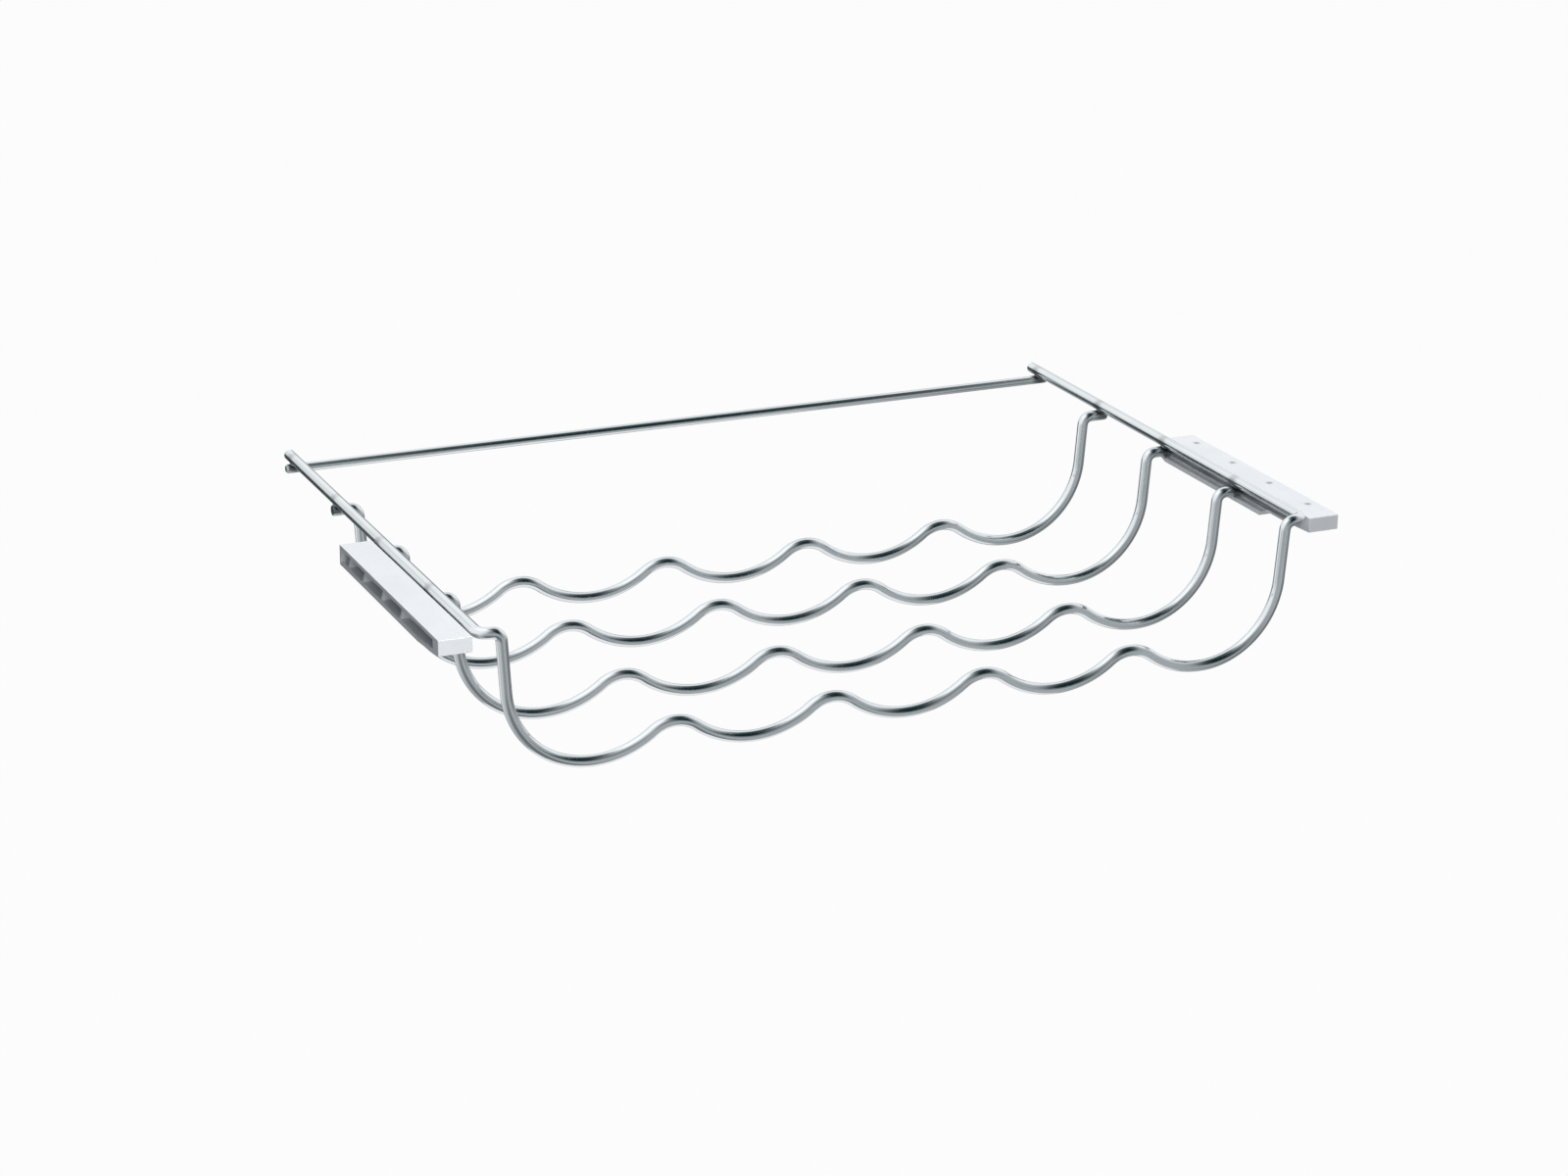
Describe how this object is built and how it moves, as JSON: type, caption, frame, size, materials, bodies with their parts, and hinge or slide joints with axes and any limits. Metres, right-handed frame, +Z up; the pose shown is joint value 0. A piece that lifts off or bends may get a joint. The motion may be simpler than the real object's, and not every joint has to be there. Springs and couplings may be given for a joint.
{
  "type": "wine rack",
  "caption": "Wire bottle rack with scalloped cradle wires hung between side rails, sliding out on moulded wall guides.",
  "frame": {"origin": "midway across and midway back, level with the underside of the lowest wires", "axes": "+X to the right as seen from the front, +Y to the back, +Z up; the rack pulls out along -Y"},
  "size_m": [0.5034, 0.31, 0.0802],
  "materials": {
    "bright_wire": "bright chrome plate on drawn steel wire",
    "white_moulding": "fine satin moulded surface"
  },
  "bodies": {
    "guides": {"left_guide": "white_moulding", "right_guide": "white_moulding"},
    "rack": {"left_rail": "bright_wire", "right_rail": "bright_wire", "front_wave": "bright_wire", "second_wave": "bright_wire", "third_wave": "bright_wire", "rear_wave": "bright_wire", "rear_rod": "bright_wire"}
  },
  "joints": [
    {"name": "rack_slide", "type": "slide", "parent": "guides", "child": "rack", "axis": [0, -1, 0], "range_m": [0, 0.142]}
  ]
}
